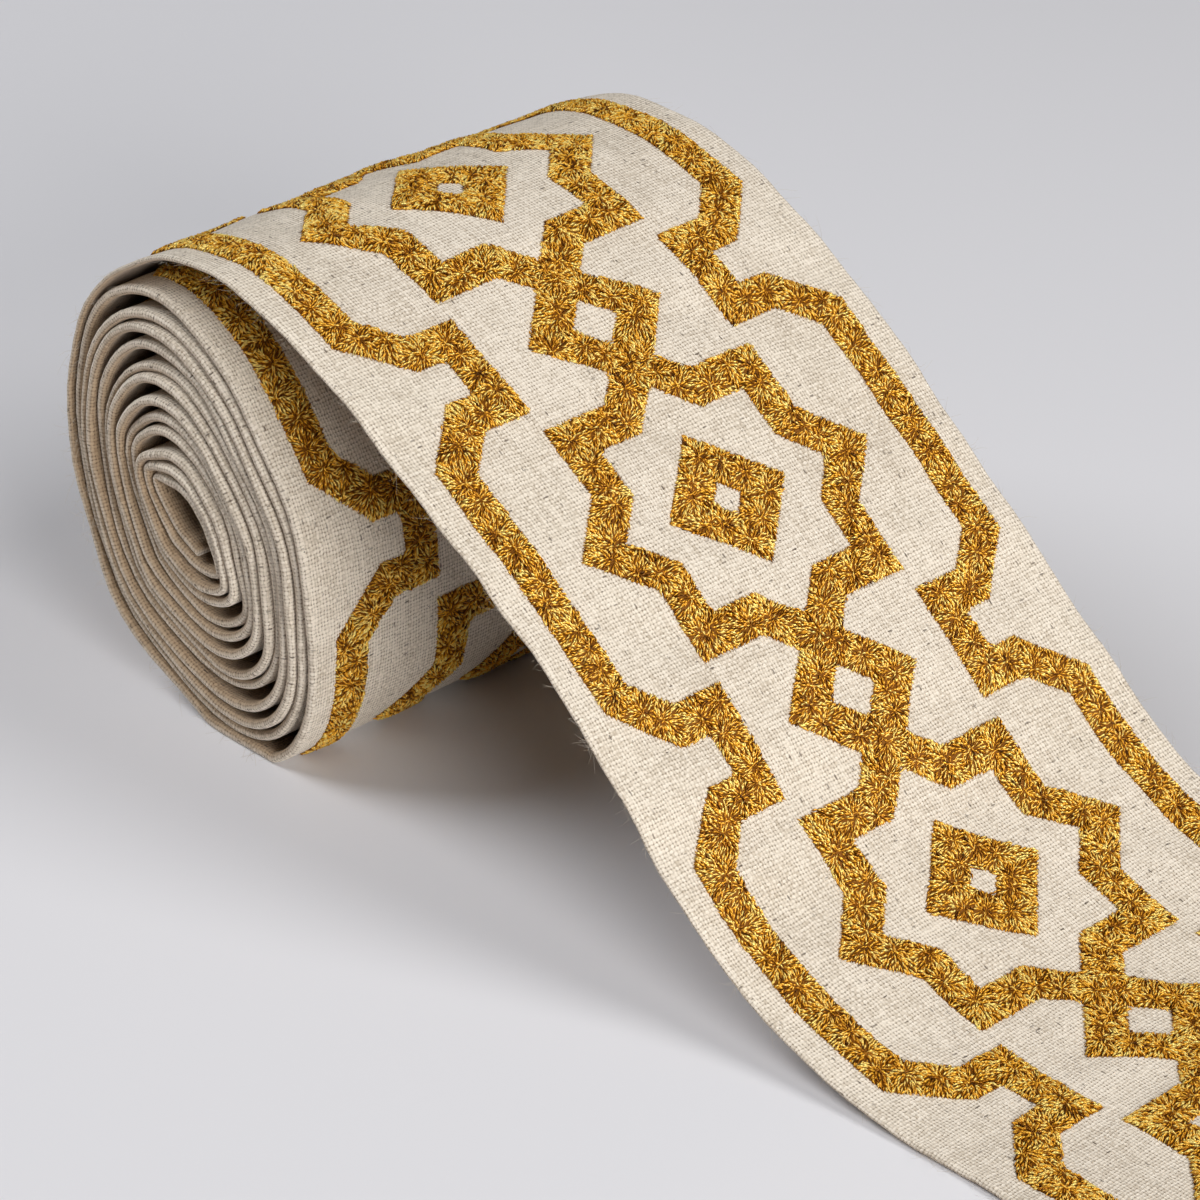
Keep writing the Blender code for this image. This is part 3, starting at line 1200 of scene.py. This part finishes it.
@dataclass
class Embroidery:
    """Raised embroidery: padding, coloured dark brown as painted shade in the gaps between the stitches,
    and fans of short stitches sewn over it.
    """

    path: Path
    design: Design
    floss: FlossFinish = FlossFinish()
    wound: WoundFinish = WoundFinish()
    pad_finish: FlossFinish = FlossFinish("gold_floss_padding_shade", roughness=0.6)
    stitched_turn: float = 1.06
    margin: float = 1.0 * MM
    pad_height: float = 0.45 * MM
    wound_height: float = 0.30 * MM
    pad_columns: int = 7
    pad_step: float = 2.4 * MM
    pad_sink: float = 0.10 * MM
    pad_power: float = 2.6
    # A very low tone on the padding, for painted shade in the gaps between the stitches.
    pad_painted_shade: float = 0.10
    least_quad: float = 0.2 * MM
    least_run: float = 0.001 * MM
    grid: float = 0.60 * MM
    jitter: tuple = (0.08, 0.92)
    mask_grid: float = 0.2 * MM
    trims: tuple = (0.8, 0.6, 0.45, 0.3, 0.15)
    fan_spacing: float = 5.3 * MM
    fan_jitter: float = 0.30
    fan_scatter: float = 1.0 * MM
    fan_margin: float = 5 * MM
    fan_reach: float = 2.6 * MM
    fewest_fans: int = 3
    stitch_half: tuple = (0.8 * MM, 1.5 * MM)
    stitch_radius: tuple = (0.17 * MM, 0.27 * MM)
    stitch_bow: float = 0.08 * MM
    stitch_lie: float = 0.02 * MM
    stitch_climb: float = 0.14 * MM
    stitch_loft: float = 0.20 * MM
    stray: float = 0.21
    stray_near: float = 0.9 * MM
    stray_core: float = 0.3 * MM
    tone_low: float = 0.35
    tone_rise: float = 0.36
    tone_spread: float = 0.31
    patch_depth: float = 0.20
    patch_turns: tuple = (2.4, 1.7)
    overhang: float = 0.12 * MM
    block: int = 2000
    pieces: int = 4
    seed: int = 23
    dive: float = 0.26 * MM
    # A stitch's corners: shares along, up and sideways, and the painted light on each: a painted highlight
    # on the crown, painted shade at the two ends and the lower sides.
    grain: tuple = (
        (-1.0, -0.6, 0.0, -0.30), (1.0, -0.6, 0.0, -0.30),
        (0.0, 1.0, 0.0, 0.14), (0.05, -0.7, 0.9, -0.16), (-0.05, -0.7, -0.9, -0.16),
    )
    made: list = field(default_factory=list)
    cover: tuple = ()

    def build(self) -> list[bpy.types.Object]:
        """Build the padding and the stitches.

        Returns:
            Their pieces.
        """
        change = self.path.run_at_turn(self.stitched_turn)
        end = self.path.length - self.margin
        for name, stretch, height, finish in (
            ("embroidery_padding_shade", (self.margin, change), self.pad_height, self.pad_finish),
            ("embroidery_wound", (change, end), self.wound_height, self.wound),
        ):
            self.made.append(self._pads(name, stretch, height, finish.material()))
        self._sew(self.margin, change)
        return self.made

    def _raise(self, side: np.ndarray, height: float) -> np.ndarray:
        """Return the padding's height at a share of the band's half width."""
        return height * (1 - np.clip(np.abs(side), 0, 1) ** self.pad_power)

    def _laid(self, flat: np.ndarray, height: np.ndarray) -> np.ndarray:
        """Return points over the cloth's face, none of them below the surface.

        Args:
            flat: Their places along and across the unrolled cloth.
            height: Their heights over the cloth.

        Returns:
            The points, a row each.
        """
        along, across = flat[:, 0], flat[:, 1]
        lift = WAVINESS.lift(self.path, along, across) + self.path.winding.thickness / 2
        points = self.path.place(along, across, height + lift)
        points[:, 2] = np.maximum(points[:, 2], 0.0)
        return points

    def _pads(self, name: str, stretch: tuple, height: float,
              material: bpy.types.Material) -> bpy.types.Object:
        """Build the padding of a stretch of tape as one piece.

        Args:
            name: The piece's name.
            stretch: Where the stretch starts and ends along the tape.
            height: How high the padding stands.
            material: Its finish.

        Returns:
            The piece.
        """
        low, high = stretch
        sides = np.linspace(-1, 1, self.pad_columns)
        rise = self._raise(sides, height + self.pad_sink) - self.pad_sink
        points, faces, total = [], [], 0
        for band in self.design.bands(low, high):
            mitres = band.mitres(self.design.band_width / 2)
            for start, stop in band.segments():
                a, b = band.points[start], band.points[stop]
                if max(a[0], b[0]) < low or min(a[0], b[0]) > high:
                    continue
                count = max(2, math.ceil(float(np.linalg.norm(b - a)) / self.pad_step) + 1)
                for_length = np.linspace(0, 1, count)[:, None, None]
                first = a + sides[:, None] * mitres[start]
                second = b + sides[:, None] * mitres[stop]
                flat = (first[None] * (1 - for_length) + second[None] * for_length).reshape(-1, 2)
                points.append(np.column_stack([flat, np.tile(rise, count)]))
                faces.append(grid_faces(count, self.pad_columns) + total)
                total += len(flat)
        flat, quads = np.concatenate(points), np.concatenate(faces)
        flat[:, 0] = np.clip(flat[:, 0], low, high)
        along, across = (np.ptp(flat[quads, axis], axis=1) for axis in (0, 1))
        quads = quads[(along + across > self.least_quad) & (along > self.least_run)]
        # The padding carries the dark tone of painted shade.
        return make_piece(
            name, self._laid(flat, flat[:, 2]), [quads], material,
            flat[quads.ravel()][:, 1::-1], {TONE_AND_PAINTED_LIGHT: np.full(len(flat), self.pad_painted_shade)},
        )

    def _spots(self, low: float, high: float, grid: float, shift: np.ndarray | float) -> np.ndarray:
        """Return a point in each cell of a grid over a stretch of the tape.

        Args:
            low: Where the stretch starts.
            high: Where it ends.
            grid: The size of its cells.
            shift: How far into its cell each point is, in cells.

        Returns:
            The points, as (along, across).
        """
        rows, columns = math.ceil((high - low) / grid), math.ceil(self.design.width / grid)
        row, column = np.mgrid[0:rows, 0:columns]
        return (np.stack([row, column], -1) + shift) * grid + np.array([low, 0.0])

    def _cells(self, low: float, high: float, dice: np.random.Generator) -> tuple:
        """Return one jittered point in each cell of a fine grid that a band covers.

        Args:
            low: Where the stretch starts along the tape.
            high: Where it ends.
            dice: The source of chance.

        Returns:
            The points, and for each its distance from its band's middle.
        """
        shape = self._spots(low, high, self.grid, 0.5).shape
        spots = self._spots(low, high, self.grid, dice.uniform(*self.jitter, shape))
        offset = np.full(shape[:2], np.inf)
        for band in self.design.bands(low, high):
            for a, b, near, inside in band.covers(self.design.band_width / 2, low, self.grid, spots):
                ahead = (b - a) / np.linalg.norm(b - a)
                away = spots[near] - a
                side = np.abs(away[..., 1] * ahead[0] - away[..., 0] * ahead[1])
                offset[near] = np.where(inside, np.minimum(side, offset[near]), offset[near])
        kept = np.isfinite(offset)
        return spots[kept], offset[kept]

    def _cover(self, low: float, high: float) -> np.ndarray:
        """Return which cells of a very fine grid a stitch may end in.

        Args:
            low: Where the stretch starts along the tape.
            high: Where it ends.

        Returns:
            The grid, true where a band covers it.
        """
        spots = self._spots(low, high, self.mask_grid, 0.5)
        cover = np.zeros(spots.shape[:2], bool)
        for band in self.design.bands(low, high):
            half = self.design.band_width / 2 + self.overhang
            for *_, near, inside in band.covers(half, low, self.mask_grid, spots):
                cover[near] |= inside
        return cover

    def _reach(self, spots: np.ndarray, ahead: np.ndarray, half: np.ndarray) -> np.ndarray:
        """Return how far each stitch may go one way before it leaves its band.

        Args:
            spots: Where the stitches start.
            ahead: The unit vector of each one's way.
            half: How far each would go.

        Returns:
            How far each may go.
        """
        low, cover = self.cover
        reach = half.copy()
        for share in self.trims:
            ends = spots + ahead * reach[:, None]
            row = np.clip(((ends[:, 0] - low) / self.mask_grid).astype(int), 0, cover.shape[0] - 1)
            column = np.clip((ends[:, 1] / self.mask_grid).astype(int), 0, cover.shape[1] - 1)
            reach = np.where(cover[row, column], reach, half * share)
        return reach

    def _fan_centres(self, low: float, high: float, dice: np.random.Generator) -> np.ndarray:
        """Return the points that the stitches fan out from, spaced along the bands.

        Args:
            low: Where the stretch starts along the tape.
            high: Where it ends.
            dice: The source of chance.

        Returns:
            The points, a row each.
        """
        centres = []
        for band in self.design.bands(low, high):
            ring = np.concatenate([band.points, band.points[:1]]) if band.closed else band.points
            run = np.concatenate([[0], np.cumsum(np.linalg.norm(np.diff(ring, axis=0), axis=1))])
            count = max(self.fewest_fans, round(run[-1] / self.fan_spacing))
            shift = dice.uniform(-self.fan_jitter, self.fan_jitter, count)
            places = (np.arange(count) + shift) * run[-1] / count
            found = np.stack([np.interp(places, run, ring[:, axis]) for axis in (0, 1)], 1)
            centres.append(found + dice.normal(0, self.fan_scatter, found.shape))
        joined = np.concatenate(centres)
        along = joined[:, 0]
        return joined[(along > low - self.fan_margin) & (along < high + self.fan_margin)]

    def _sew(self, low: float, high: float) -> None:
        """Sew the stitches of a stretch of tape, in a few pieces.

        Args:
            low: Where the stretch starts along the tape.
            high: Where it ends.
        """
        dice = np.random.default_rng(self.seed)
        spots, offset = self._cells(low, high, dice)
        self.cover = low, self._cover(low, high)
        centres = self._fan_centres(low, high, dice)
        order = np.argsort(spots[:, 0], kind="stable")
        parts = np.array_split(order, self.pieces)
        material = self.floss.material()
        for number, part in enumerate(parts, 1):
            self.made.append(self._stitches(
                f"embroidery_stitches_{number}", spots[part], offset[part], centres, dice, material))

    def _nearest(self, spots: np.ndarray, centres: np.ndarray) -> np.ndarray:
        """Return the number of the centre nearest to each spot.

        Args:
            spots: The spots, a row each.
            centres: The centres, a row each.

        Returns:
            The numbers.
        """
        nearest = np.zeros(len(spots), int)
        for block in np.array_split(np.arange(len(spots)), max(1, len(spots) // self.block)):
            gaps = ((spots[block, None] - centres[None]) ** 2).sum(-1)
            nearest[block] = gaps.argmin(1)
        return nearest

    def _stitches(self, name: str, spots: np.ndarray, offset: np.ndarray, centres: np.ndarray,
                  dice: np.random.Generator, material: bpy.types.Material) -> bpy.types.Object:
        """Build many short stitches as one piece.

        Args:
            name: The piece's name.
            spots: The middle of each stitch, along and across.
            offset: Its distance from the middle of its band.
            centres: What the stitches fan out from.
            dice: The source of chance.
            material: The floss's finish.

        Returns:
            The piece.
        """
        count = len(spots)
        nearest = self._nearest(spots, centres)
        away = spots - centres[nearest]
        distance = np.linalg.norm(away, axis=1)
        stray = dice.normal(0, self.stray, count) * (1 + self.stray_near / (distance + self.stray_core))
        angle = np.arctan2(away[:, 1], away[:, 0]) + stray
        ahead = np.stack([np.cos(angle), np.sin(angle)], 1)
        half = dice.uniform(*self.stitch_half, count)
        front, back = self._reach(spots, ahead, half), self._reach(spots, -ahead, half)
        middle = spots + ahead * ((front - back) / 2)[:, None]
        radius = dice.uniform(*self.stitch_radius, count)
        spread = np.clip(distance / self.fan_reach, 0, 1)
        base = self._raise(offset / (self.design.band_width / 2), self.pad_height)
        lie = base + self.stitch_lie + self.stitch_climb * spread
        top = lie + dice.uniform(0, self.stitch_loft, count)
        bow = dice.normal(0, self.stitch_bow, count)
        double, single = (nearest * turn for turn in self.patch_turns)
        sector = np.cos(2 * angle + double) * np.cos(angle - single)
        tone = self.tone_low + self.tone_rise * spread + self.patch_depth * sector
        tone += dice.normal(0, self.tone_spread, count)
        flat, height = self._spindles(middle, ahead, (front + back) / 2, radius, top, bow)
        painted_light = np.array([row[-1] for row in self.grain])
        # Each stitch's own tone, with painted highlight and painted shade added at its corners.
        tones = np.clip(tone[:, None] + painted_light, 0, 1)
        sides = np.array([(0, 3, 2), (0, 4, 3), (0, 2, 4), (1, 2, 3), (1, 3, 4), (1, 4, 2)])
        corners = (np.arange(count)[:, None, None] * len(self.grain) + sides[None]).reshape(-1, 3)
        return make_piece(
            name, self._laid(flat, height), [corners], material,
            flat[corners.ravel()][:, ::-1], {TONE_AND_PAINTED_LIGHT: tones.ravel()},
        )

    def _spindles(self, middle: np.ndarray, ahead: np.ndarray, half: np.ndarray, radius: np.ndarray,
                  top: np.ndarray, bow: np.ndarray) -> tuple[np.ndarray, np.ndarray]:
        """Return the corners of thin stitches whose two ends dive into the cloth.

        Args:
            middle: The middle of each stitch, along and across.
            ahead: The unit vector of its way.
            half: Half of its length.
            radius: Half of its thickness.
            top: How high it lies over the cloth.
            bow: How far its middle is off the straight line.

        Returns:
            The corners' places along and across, and their heights over the cloth.
        """
        along, up, side, _ = (np.array(column)[None, :] for column in zip(*self.grain))
        lateral = np.stack([-ahead[:, 1], ahead[:, 0]], 1)
        flat = middle[:, None, :] + ahead[:, None, :] * (half[:, None] * along)[..., None]
        belly = radius[:, None] * side + bow[:, None] * (1 - np.abs(along))
        flat = flat + lateral[:, None, :] * belly[..., None]
        height = top[:, None] + radius[:, None] * up - np.abs(along) * self.dive
        return flat.reshape(-1, 2), height.ravel()


def grid_faces(rows: int, columns: int) -> np.ndarray:
    """Return the quads of a grid of vertices that are numbered row by row."""
    corner = np.arange(rows - 1)[:, None] * columns + np.arange(columns - 1)[None, :]
    return np.stack([corner, corner + columns, corner + columns + 1, corner + 1], axis=-1).reshape(-1, 4)


@dataclass
class StrayFibres:
    """Fine linen hairs that stand off the tape's edges and face."""

    path: Path
    finish: PlainFinish = PlainFinish("linen_fibre", (0.60, 0.53, 0.44), 0.8, 0.1)
    edge_count: int = 700
    face_count: int = 260
    radius: float = 0.028 * MM
    length: tuple = (0.9 * MM, 3.4 * MM)
    face_shortening: float = 0.6
    cut_margin: float = 2 * MM
    last_turn: float = 1.2
    edge_inset: float = 0.1 * MM
    face_inset: float = 3 * MM
    edge_start: tuple = (-0.6, 1.0)
    edge_rise: tuple = (-0.25, 0.35)
    face_rise: tuple = (0.1, 0.45)
    spread: float = 0.5
    run_share: float = 0.6
    across_share: float = 0.8
    curl_share: float = 0.5
    droop: float = 0.3
    taper: float = 0.6
    off_axis: tuple = (0.31, 0.22, 0.92)
    points_each: int = 6
    sides: int = 3
    seed: int = 41

    def build(self) -> bpy.types.Object:
        """Build all the hairs as one piece.

        Returns:
            The piece.
        """
        points = self._tubes(self._spines(np.random.default_rng(self.seed)))
        points[:, 2] = np.maximum(points[:, 2], 0.0)
        return make_piece("edge_fibres", points, self._faces(), self.finish.material())

    def _spines(self, dice: np.random.Generator) -> np.ndarray:
        """Return the middle lines of the hairs.

        Args:
            dice: The source of chance.

        Returns:
            The points of each hair.
        """
        count = self.edge_count + self.face_count
        width = self.path.winding.width
        run = dice.uniform(self.cut_margin, self.path.run_at_turn(self.last_turn), count)
        at_edge = np.arange(count) < self.edge_count
        far = dice.uniform(0, 1, count) < 0.5
        edge = np.where(far, width - self.edge_inset, self.edge_inset)
        across = np.where(at_edge, edge, dice.uniform(self.face_inset, width - self.face_inset, count))
        outward = np.where(at_edge, np.where(far, 1.0, -1.0), dice.normal(0, self.spread, count))
        heading = dice.normal(0, 1.0, count)
        length = dice.uniform(*self.length, count) * np.where(at_edge, 1.0, self.face_shortening)
        curl = dice.normal(0, self.spread, (count, 2))
        steep = dice.uniform(*self.edge_rise, count)
        rise = np.where(at_edge, steep, dice.uniform(*self.face_rise, count))
        level = np.where(at_edge, dice.uniform(*self.edge_start, count), 1.0)
        share = np.linspace(0, 1, self.points_each)[None, :]
        reach = length[:, None] * share
        flat_run = run[:, None] + reach * (heading[:, None] * self.run_share + curl[:, :1] * share)
        sideways = outward[:, None] * self.across_share + curl[:, 1:] * share * self.curl_share
        height = self.path.winding.thickness / 2 * level[:, None]
        height = height + reach * rise[:, None] * (1 - self.droop * share)
        spine = self.path.place(flat_run, across[:, None] + reach * sideways, height)
        spine[..., 2] = np.maximum(spine[..., 2], self.radius)
        return spine

    def _tubes(self, spine: np.ndarray) -> np.ndarray:
        """Return thin rings of points about the middle lines.

        Args:
            spine: The points of each hair.

        Returns:
            The rings' points, a row each.
        """
        ahead = np.gradient(spine, axis=1)
        ahead /= np.linalg.norm(ahead, axis=2)[..., None]
        first = np.cross(ahead, np.array(self.off_axis))
        first /= np.linalg.norm(first, axis=2)[..., None]
        second = np.cross(ahead, first)
        share = np.linspace(0, 1, self.points_each)[None, :]
        thickness = self.radius * (1 - self.taper * share)[..., None, None]
        angles = np.radians(np.arange(self.sides) * 360 / self.sides)[:, None]
        ring = np.cos(angles) * first[:, :, None, :] + np.sin(angles) * second[:, :, None, :]
        return (spine[:, :, None, :] + thickness * ring).reshape(-1, 3)

    def _faces(self) -> list[np.ndarray]:
        """Return the hairs' faces.

        Returns:
            The quads along the hairs, and the faces that close their two ends.
        """
        count = self.edge_count + self.face_count
        base = np.arange(count)[:, None, None] * self.points_each * self.sides
        level = np.arange(self.points_each - 1)[None, :, None] * self.sides
        corner = np.arange(self.sides)[None, None, :]
        low, high = base + level + corner, base + level + (corner + 1) % self.sides
        quads = np.stack([low, high, high + self.sides, low + self.sides], axis=-1).reshape(-1, 4)
        root = base[:, 0] + corner[0, :, ::-1]
        tip = base[:, 0] + (self.points_each - 1) * self.sides + corner[0]
        return [quads, np.concatenate([root, tip])]


# The studio


@dataclass(frozen=True)
class Viewpoint:
    """The camera, where it stood for the photograph."""

    place: tuple = (0.53473, -0.56774, 0.49516)
    right: tuple = (0.68703354, 0.72650707, 0.01312967)
    up: tuple = (-0.36849369, 0.33278499, 0.86802451)
    lens: float = 149.9
    sensor: float = 36.0
    clip: tuple = (0.01, 100.0)

    def build(self) -> bpy.types.Object:
        """Set up the scene's camera.

        Returns:
            The camera.
        """
        data = bpy.data.cameras.new("camera")
        data.lens, data.sensor_width = self.lens, self.sensor
        data.clip_start, data.clip_end = self.clip
        camera = bpy.data.objects.new("camera", data)
        right, up = Vector(self.right).normalized(), Vector(self.up).normalized()
        turned = Matrix((right, up, right.cross(up))).transposed().to_4x4()
        camera.matrix_world = Matrix.Translation(self.place) @ turned
        bpy.context.scene.collection.objects.link(camera)
        bpy.context.scene.camera = camera
        return camera


@dataclass(frozen=True)
class Lamp:
    """One large soft lamp that points at the tape."""

    name: str
    place: tuple
    size: float
    power: float
    colour: tuple = (1.0, 1.0, 1.0)
    target: tuple = (-0.03, 0.0, 0.03)

    def build(self) -> bpy.types.Object:
        """Set up the lamp.

        Returns:
            The lamp.
        """
        data = bpy.data.lights.new(self.name, "AREA")
        data.shape, data.size, data.energy, data.color = "DISK", self.size, self.power, self.colour
        lamp = bpy.data.objects.new(self.name, data)
        lamp.location = self.place
        aim = Vector(self.target) - Vector(self.place)
        lamp.rotation_euler = aim.to_track_quat("-Z", "Y").to_euler()
        bpy.context.scene.collection.objects.link(lamp)
        return lamp


@dataclass(frozen=True)
class Studio:
    """A pale floor under plain soft light."""

    floor_half: float = 6.0
    floor_finish: PlainFinish = PlainFinish("studio_floor", (0.795, 0.79, 0.825), 0.75, 0.01)
    sky: tuple = (0.93, 0.95, 1.0)
    sky_strength: float = 0.04
    lamps: tuple = (
        Lamp("key_lamp", (1.0, 0.6, 1.2), 0.8, 12.8, (1.0, 0.99, 0.97)),
        Lamp("low_lamp", (1.35, -0.45, 0.55), 0.7, 16.6, (1.0, 0.985, 0.96)),
        Lamp("fill_lamp", (-1.0, -0.5, 1.0), 0.8, 11.0, (0.97, 0.985, 1.0)),
    )

    def build(self) -> None:
        """Set up the floor, the lamps, the sky and plain tones."""
        half = self.floor_half
        mesh = bpy.data.meshes.new("floor")
        corners = [(-half, -half, 0), (half, -half, 0), (half, half, 0), (-half, half, 0)]
        mesh.from_pydata(corners, [], [(0, 1, 2, 3)])
        mesh.materials.append(self.floor_finish.material())
        floor = bpy.data.objects.new("floor", mesh)
        bpy.context.scene.collection.objects.link(floor)
        for lamp in self.lamps:
            lamp.build()
        world = bpy.data.worlds.new("studio_light")
        world.use_nodes = True
        background = world.node_tree.nodes["Background"]
        background.inputs["Color"].default_value = (*self.sky, 1.0)
        background.inputs["Strength"].default_value = self.sky_strength
        bpy.context.scene.world = world
        bpy.context.scene.view_settings.view_transform = "Standard"


def report(piece: bpy.types.Object) -> None:
    """Log a piece's name and how many triangles it has.

    Args:
        piece: The piece.
    """
    corners = np.zeros(len(piece.data.polygons), np.int32)
    piece.data.polygons.foreach_get("loop_total", corners)
    LOG.info("%s: %d triangles", piece.name, int((corners - 2).sum()))


def main() -> None:
    """Build the camera, the studio and every piece of the tape."""
    logging.basicConfig(level=logging.INFO, format="%(name)s: %(message)s")
    Viewpoint().build()
    Studio().build()
    path = Path(Winding())
    tape = LinenTape(path).build()
    report(tape)
    sewn = Embroidery(path, Design(path.winding.width)).build()
    fibres = StrayFibres(path).build()
    for piece in [*sewn, fibres]:
        report(piece)


if __name__ == "__main__":
    main()
